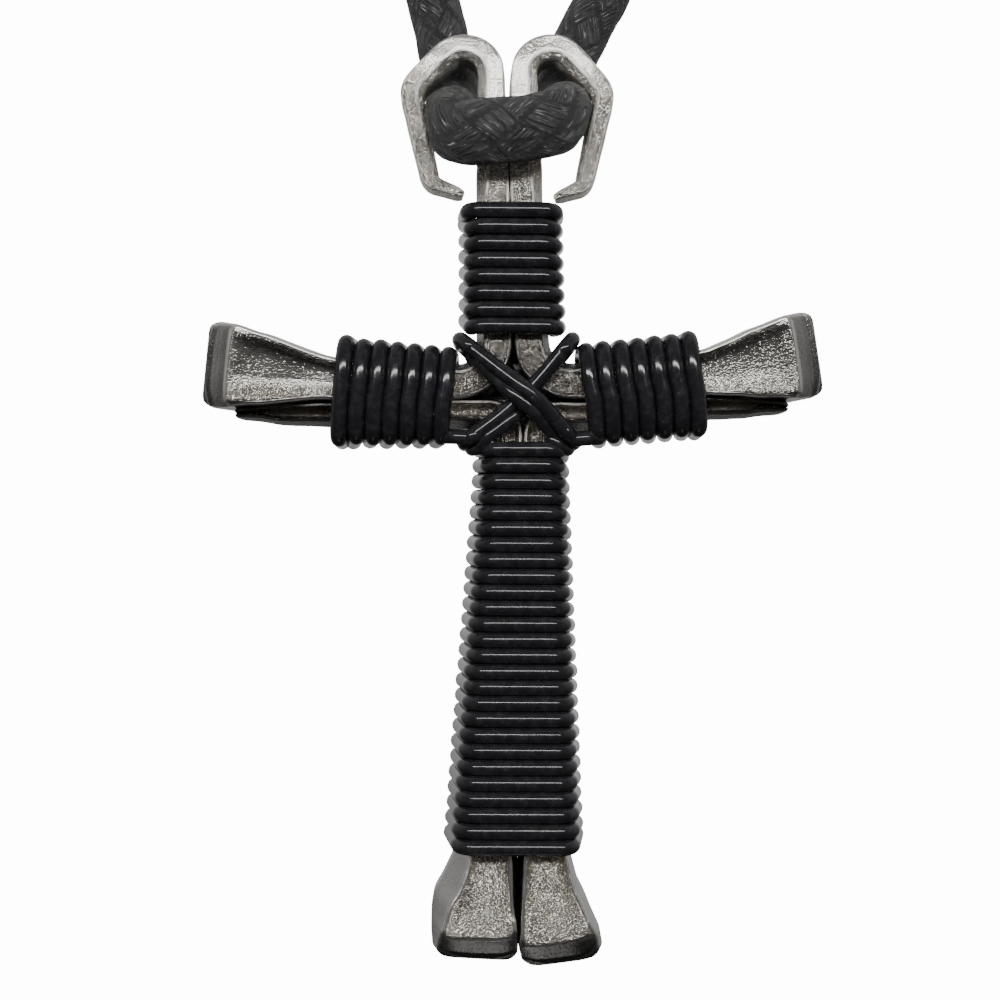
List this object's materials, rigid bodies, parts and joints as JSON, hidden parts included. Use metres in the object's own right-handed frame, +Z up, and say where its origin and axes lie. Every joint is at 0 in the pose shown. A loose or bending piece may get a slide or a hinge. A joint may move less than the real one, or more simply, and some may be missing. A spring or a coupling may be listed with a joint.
{
  "type": "horseshoe nail cross pendant on a neck cord",
  "caption": "Cross pendant of bent horseshoe nails bound with black wire, hung by two bent loops from a black braided neck cord.",
  "frame": {"origin": "the underside of the knot at the nape, where the cord rests when it is worn or hung up", "axes": "+Z up along the cross's upright, -Y towards the viewer, +X to the viewer's right"},
  "size_m": [0.1504, 0.0221, 0.2218],
  "materials": {
    "nail_steel": "forged, lightly grained, worn bright",
    "black_wire": "glossy enamelled wire",
    "waxed_cord": "waxed braid"
  },
  "bodies": {
    "root": {"nail_upper_left": "nail_steel", "nail_upper_right": "nail_steel", "nail_lower_left": "nail_steel", "nail_lower_right": "nail_steel", "wrap_upper": "black_wire", "wrap_lower": "black_wire", "wrap_left_arm": "black_wire", "wrap_right_arm": "black_wire", "cross_wire_under": "black_wire", "cross_wire_over": "black_wire", "neck_cord": "waxed_cord", "neck_knot": "waxed_cord"}
  },
  "joints": []
}
